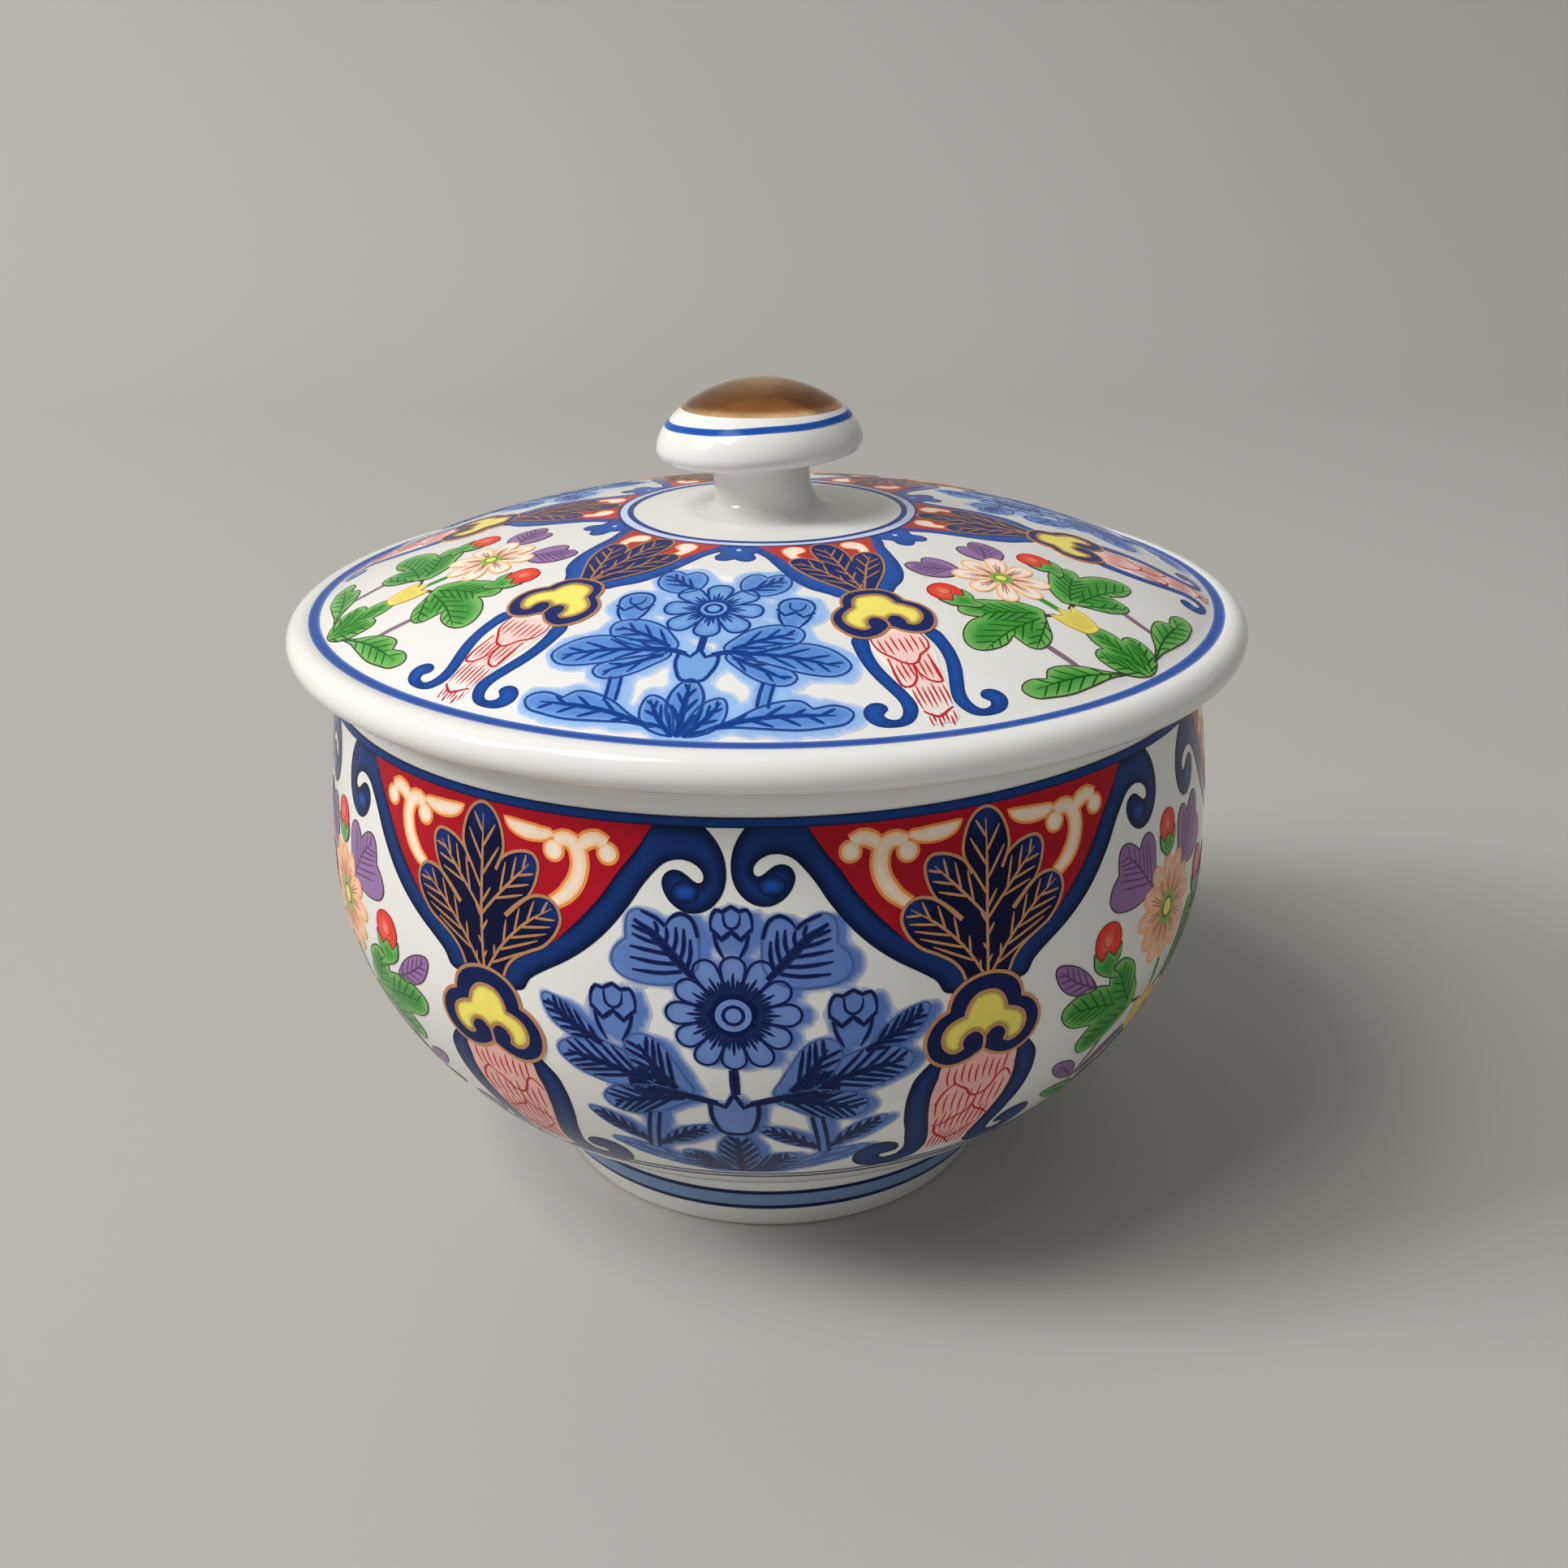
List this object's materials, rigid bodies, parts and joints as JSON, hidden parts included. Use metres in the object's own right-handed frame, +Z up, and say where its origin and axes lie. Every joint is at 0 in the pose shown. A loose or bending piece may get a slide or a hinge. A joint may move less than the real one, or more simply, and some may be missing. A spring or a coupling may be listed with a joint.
{
  "type": "lidded tea bowl",
  "caption": "Round porcelain tea bowl on a tapered foot ring, with a domed lid that lifts off, a collar that locates it in the mouth and a mushroom knob to lift it by.",
  "frame": {"origin": "centre of the foot ring's flat underside, on the turning axis, at the table", "axes": "+Z up along the turning axis, -Y towards the viewer of the picture, +X to the viewer's right"},
  "size_m": [0.106, 0.106, 0.0918],
  "materials": {
    "bowl_glaze": "clear gloss glaze over white porcelain, painted under and over the glaze",
    "lid_glaze": "clear gloss glaze over white porcelain, painted under and over the glaze",
    "knob_gilt": "white glaze with a burnished gilt cap and a painted line"
  },
  "bodies": {
    "bowl": {"bowl": "bowl_glaze"},
    "lid": {"lid": "lid_glaze", "lid_knob": "knob_gilt"}
  },
  "joints": [
    {"name": "lid_lift", "type": "slide", "parent": "bowl", "child": "lid", "axis": [0, 0, 1], "range_m": [0, 0.1]}
  ]
}
